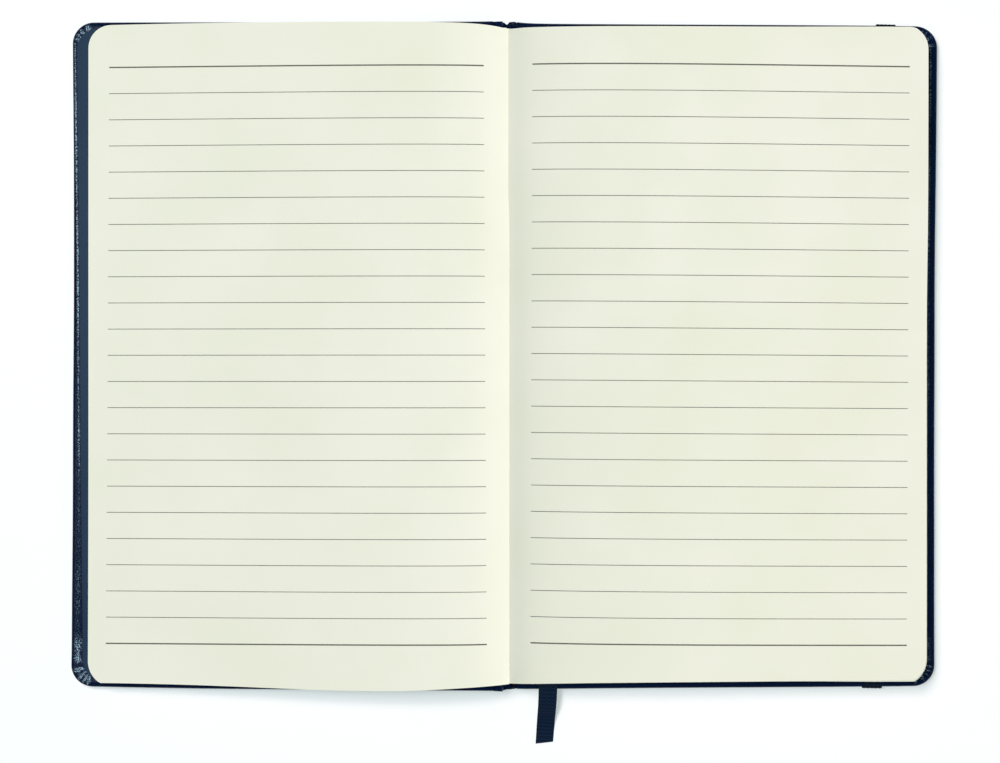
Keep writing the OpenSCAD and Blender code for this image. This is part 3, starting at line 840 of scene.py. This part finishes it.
def jointStrip(name, piece):
    s, h = side[name], book["halfCover"]
    if name == "left":  # each point of the line has the direction into the book
        line = [((x, 5.987), (0.0, 1.0)) for x in (-3.75, -4.1, -4.5, -4.9)]
    else:
        line = [(p, (-0.803, 0.596)) for p in ((1.52, 0.563), (1.8, 0.942), (2.1, 1.347))]
        line.append(((2.36, 1.699), (-0.55, 0.835)))
    # the ends, tail and head, are level with the caps of the spine, then with the edge of the cover
    reach = [[h + between(spine[cap], p[0]) + 0.02 for cap in ("tailCap", "headCap")] for p, _ in line]
    for u in joint["steps"]:
        x, _, z = coverPoint(s, u, 0, 0)
        x1, _, z1 = coverPoint(s, u, 0, 1)
        line.append(((x, z), (x1 - x, z1 - z)))
        under = 1.1 * min(1.0, u / 1.4)
        reach.append([h - strain(s, u, -50)[1] * 2.1 - under + 0.02, h + strain(s, u, 50)[1] * 2.1 - under + 0.02])
    n = len(line)
    # stations near an end: how far inside it, in the thick rim or not, and how much its rounding takes off
    near = [(0.0, True, 0.16), (0.08, True, 0.05), (0.3, True, 0.0), (2.0, True, 0.0), (2.05, False, 0.0)]
    stations = [(-1, *station) for station in near] + [(1, *station) for station in near[::-1]]
    turn = [(at, True) for at in range(n)] + [(at, False) for at in reversed(range(n))]
    verts = []
    for end, inside, rim, shrink in stations:
        for at, outer in turn:
            (x, z), (inX, inZ) = line[at]
            if outer:
                off = shrink - (joint["proud"] if 0 < at < n - 1 else -0.05)
            else:
                off = spine["rimThick"] - shrink if rim and 1 <= at <= 4 else joint["inner"]
            verts.append((x + inX * off, end * (reach[at][end > 0] - inside), z + inZ * off))
    return dress(outward(addMesh(piece, verts, tubeFaces(len(stations), 2 * n))), leather, 60)


frontJoint = jointStrip("left", "frontJointStrip")
backJoint = jointStrip("right", "backJointStrip")
print("spine and joints made")


# straps: one ribbed or flat section carried along a path, with a map that runs in millimetres for its threads
def strapMesh(name, frames, section, material):  # frames: centre, across, out, thickness share
    verts, threads = [], []
    run = 0.0
    for i, (centre, across, out, thick) in enumerate(frames):
        if i:
            run += (Vector(centre) - Vector(frames[i - 1][0])).length
        for w, h in section:
            verts.append(tuple(centre[j] + across[j] * w + out[j] * h * thick for j in range(3)))
            threads.append((w, run))
    made = outward(addMesh(name, verts, tubeFaces(len(frames), len(section))))
    layer = made.data.uv_layers.new(name="threads")
    for loop in made.data.loops:
        layer.data[loop.index].uv = threads[loop.vertex_index]
    return dress(made, material, 60)


# elastic: goes round the back cover, its two ends glued under the endpaper
elastic = {"width": 6.2, "thick": 0.54, "endThick": 0.26, "at": 114.93, "skew": 1.2, "ends": 11.8, "ribs": 5,
           "edgeR": 1.0, "play": {1: -0.35, -1: 0.12}}


def ribbedSection(width, ribs):  # one turn round the strap: flat under side, ribs on the outer side
    half, steps = width / 2, 8 * ribs
    top = [(-half + width * i / steps, 1.0 - 0.16 * math.cos(math.pi * ribs * i / steps) ** 2) for i in range(1, steps)]
    rim = [(half - 0.12, 0.82), (half, 0.35)]
    return [(-w, h) for w, h in rim[::-1]] + top + rim + [(half - 0.1, 0.0), (-half + 0.1, 0.0)]


def elasticStrap():
    s = side["right"]
    top, r = book["coverT"], elastic["edgeR"]
    swing = math.radians(elastic["skew"])
    h = book["halfCover"] + elastic["width"] / 2 * math.sin(swing)
    way = [(h - elastic["ends"] + i * 1.1, top, 0.0, 1.0) for i in range(10)]  # y, t, outward normal in y and t
    way += [(h - r + r * math.sin(a), top - r + r * math.cos(a), math.sin(a), math.cos(a)) for a in quarter]
    way += [(h - r + r * math.cos(a), r - r * math.sin(a), math.cos(a), -math.sin(a)) for a in quarter]
    way += [(y, 0.0, 0.0, -1.0) for y in (80, 40)]
    way += [(-y, t, -ny, nt) for y, t, ny, nt in way[::-1]]
    frames = []
    for y, t, ny, nt in way:
        share = min(1.0, max(0.0, (top + 0.05 - t) / 1.2))
        thick = elastic["endThick"] + (elastic["thick"] - elastic["endThick"]) * share
        u = elastic["at"] + y * math.sin(swing)
        end = 1 if y > 0 else -1
        y += elastic["play"][end] * end if abs(y) > 85 else 0.0
        centre = coverPoint(s, u, y * math.cos(swing), t)
        away = coverPoint(s, u + ny * math.sin(swing), y * math.cos(swing) + ny * math.cos(swing), t + nt)
        out = tuple(away[j] - centre[j] for j in range(3))
        aside = coverPoint(s, u + math.cos(swing), (y * math.cos(swing)) - math.sin(swing), t)
        across = tuple(aside[j] - centre[j] for j in range(3))
        frames.append((centre, across, out, thick))
    return strapMesh("elasticStrap", frames, ribbedSection(elastic["width"], elastic["ribs"]), elasticCloth)


elasticMade = elasticStrap()

# ribbon: glued in the spine, it lies between the last leaf and the back cover and comes out on to the table
ribbon = {"width": 5.5, "wider": 0.08, "thick": 0.28, "at": 12.28, "z": 4.40, "head": 97.5, "tail": 123.0,
          "drift": 1.05, "bend": 12.0, "slant": 1.05, "freeFrom": 103.0, "free": 20.4}


def ribbonStrap():
    z0, r = ribbon["z"] + 0.01, ribbon["bend"]
    turn = math.acos(1 - z0 / 2 / r)
    out = book["halfCover"] + 1.0
    way = [(ribbon["head"] - i * (ribbon["head"] + out) / 30, z0) for i in range(30)]
    way += [(-out - r * math.sin(turn * i / 8), z0 - r + r * math.cos(turn * i / 8)) for i in range(9)]
    foot = out + 2 * r * math.sin(turn)
    way += [(-foot + r * math.sin(turn * i / 8), r - r * math.cos(turn * i / 8)) for i in range(7, -1, -1)]
    last = way[-1][0]
    way += [(last - (ribbon["tail"] + last) * i / 6, 0.0) for i in range(1, 7)] if ribbon["tail"] > -last else []
    frames = []
    for i, (y, z) in enumerate(way):
        a, b = way[max(i - 1, 0)], way[min(i + 1, len(way) - 1)]
        dy, dz = b[0] - a[0], b[1] - a[1]
        size = math.hypot(dy, dz)
        past = max(0.0, -y - ribbon["freeFrom"]) / ribbon["free"]
        x = ribbon["at"] - ribbon["drift"] * past ** 1.5
        lean = -1.5 * ribbon["drift"] * math.sqrt(past) / ribbon["free"]
        wide = 1.0 + ribbon["wider"] * max(0.0, 1.0 - past)
        frames.append(((x, y, z + 0.01), (wide, lean * wide, 0.0), (0.0, dz / size, -dy / size), ribbon["thick"]))
    w = ribbon["width"] / 2
    rim = [(w - 0.08, 0.9), (w, 0.3), (w - 0.08, 0.0)]
    section = [(-w, 0.3), (-w + 0.08, 0.9)] + [(-w + 2 * w * i / 12, 1.0) for i in range(1, 12)] + rim
    section.append((-w + 0.08, 0.0))
    made = strapMesh("ribbonStrap", frames, section, ribbonCloth)
    middle = ribbon["at"] - ribbon["drift"]
    for v in made.data.vertices[-len(section):]:  # the cut end is a little aslant
        v.co.y += (v.co.x / mm - middle) / ribbon["width"] * ribbon["slant"] * mm
    return made


ribbonMade = ribbonStrap()
print("elastic and ribbon made")

# what stays from the frame gets its own finish
for node, finish in (("spine_lining", lining), ("front_flyleaf", endpaper), ("back_flyleaf", endpaper)):
    dress(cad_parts[node], finish)

pageBlock = joinAll("leafStacks", stacks)
for piece in (pages["left"], pages["right"], pageBlock, sewnBack):
    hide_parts("text_block")
for piece in (pages["left"], pages["right"], pageBlock, sewnBack, *rules):
    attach(piece, "book_block")
for piece, node, body, finish in ((endSheets["left"], "front_endpaper", "front_cover", "endpaper"),
                                  (endSheets["right"], "back_endpaper", "back_cover", "endpaper"),
                                  (coverWraps["left"], "front_cover_skin", "front_cover", "leatherette"),
                                  (coverBoards["left"], "front_board", "front_cover", "greyboard"),
                                  (coverWraps["right"], "back_cover_skin", "back_cover", "leatherette"),
                                  (coverBoards["right"], "back_board", "back_cover", "greyboard")):
    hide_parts(node)
    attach(piece, body)
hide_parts("spine_skin")
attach(spineWrapped, "book_block")
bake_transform(frontJoint)
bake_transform(backJoint)
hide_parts("elastic_band")
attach(elasticMade, "back_cover")
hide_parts("ribbon_marker")
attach(ribbonMade, "book_block")
print("pieces ride on their bodies")

# floor and light
light = {"world": 0.13, "worldTone": (0.88, 1.0, 0.95, 1), "key": 12.1, "sheen": 5.2, "side": 43.5,
         "floorTone": (0.935, 0.80, 0.80, 1), "floorGlow": (0.075, 0.19, 0.175, 1), "floorHalf": 12,
         "whiteFrom": 0.3, "whiteTo": 0.9}
floorData = bpy.data.meshes.new("table")
half = light["floorHalf"]
corners = [(x * half, y * half, -0.02 * mm) for x, y in ((-1, -1), (1, -1), (1, 1), (-1, 1))]
floorData.from_pydata(corners, [], [(0, 1, 2, 3)])
table = inScene("table", floorData)
tableLook = bpy.data.materials.new("tableWhite")
tableLook.use_nodes = True
net = Net(tableLook.node_tree)
tableLook.node_tree.nodes.remove(tableLook.node_tree.nodes["Principled BSDF"])
white = net.add("ShaderNodeBsdfDiffuse", {"Color": light["floorTone"]})
path = net.add("ShaderNodeLightPath").outputs
mirrored = net.math("MAXIMUM", path["Is Glossy Ray"], path["Is Transmission Ray"])
seen = net.math("MAXIMUM", path["Is Camera Ray"], mirrored)
glow = net.add("ShaderNodeEmission", {"Color": light["floorGlow"], "Strength": seen})
both = net.add("ShaderNodeAddShader", {0: white.outputs[0], 1: glow.outputs[0]})
centre = net.add("ShaderNodeTexCoord").outputs["Object"]
far = net.add("ShaderNodeVectorMath", {0: centre}, operation="LENGTH").outputs["Value"]
away = net.add("ShaderNodeMapRange", {"Value": far, "From Min": light["whiteFrom"], "From Max": light["whiteTo"]},
               interpolation_type="SMOOTHSTEP").outputs[0]
plainWhite = net.add("ShaderNodeEmission", {"Color": (1, 1, 1, 1), "Strength": seen})
both = net.add("ShaderNodeMixShader", {0: away, 1: both.outputs[0], 2: plainWhite.outputs[0]})
wire(net, both.outputs[0], tableLook.node_tree.nodes["Material Output"].inputs["Surface"])
floorData.materials.append(tableLook)

world = bpy.data.worlds.new("studio")
world.use_nodes = True
net = Net(world.node_tree)
looking = net.add("ShaderNodeLightPath").outputs["Is Camera Ray"]
sky = world.node_tree.nodes["Background"]
wire(net, net.mix(looking, light["worldTone"], (1, 1, 1, 1)), sky.inputs["Color"])
wire(net, net.plus(light["world"], net.times(looking, 1 - light["world"])), sky.inputs["Strength"])
bpy.context.scene.world = world


def lamp(name, spot, size, power, tone=(1, 1, 1), shadow=True, gloss=True):
    data = bpy.data.lights.new(name, "AREA")
    data.shape, data.size, data.size_y = "RECTANGLE", size[0], size[1]
    data.energy, data.color, data.use_shadow = power, tone, shadow
    made = inScene(name, data)
    made.location, made.visible_glossy = spot, gloss
    made.rotation_euler = (-Vector(spot)).to_track_quat("-Z", "Y").to_euler()


lamp("keyLamp", (-0.66, 0.68, 1.55), (0.46, 0.46), light["key"], gloss=False)
lamp("sheenLamp", (-0.48, 0.13, 1.15), (0.26, 0.36), light["sheen"], tone=(0.74, 0.9, 1.0))
lamp("sideLamp", (1.95, -0.8, 1.05), (0.9, 0.9), light["side"], tone=(0.99, 0.985, 1.01), shadow=False,
     gloss=False)
print("lit")

print("done")
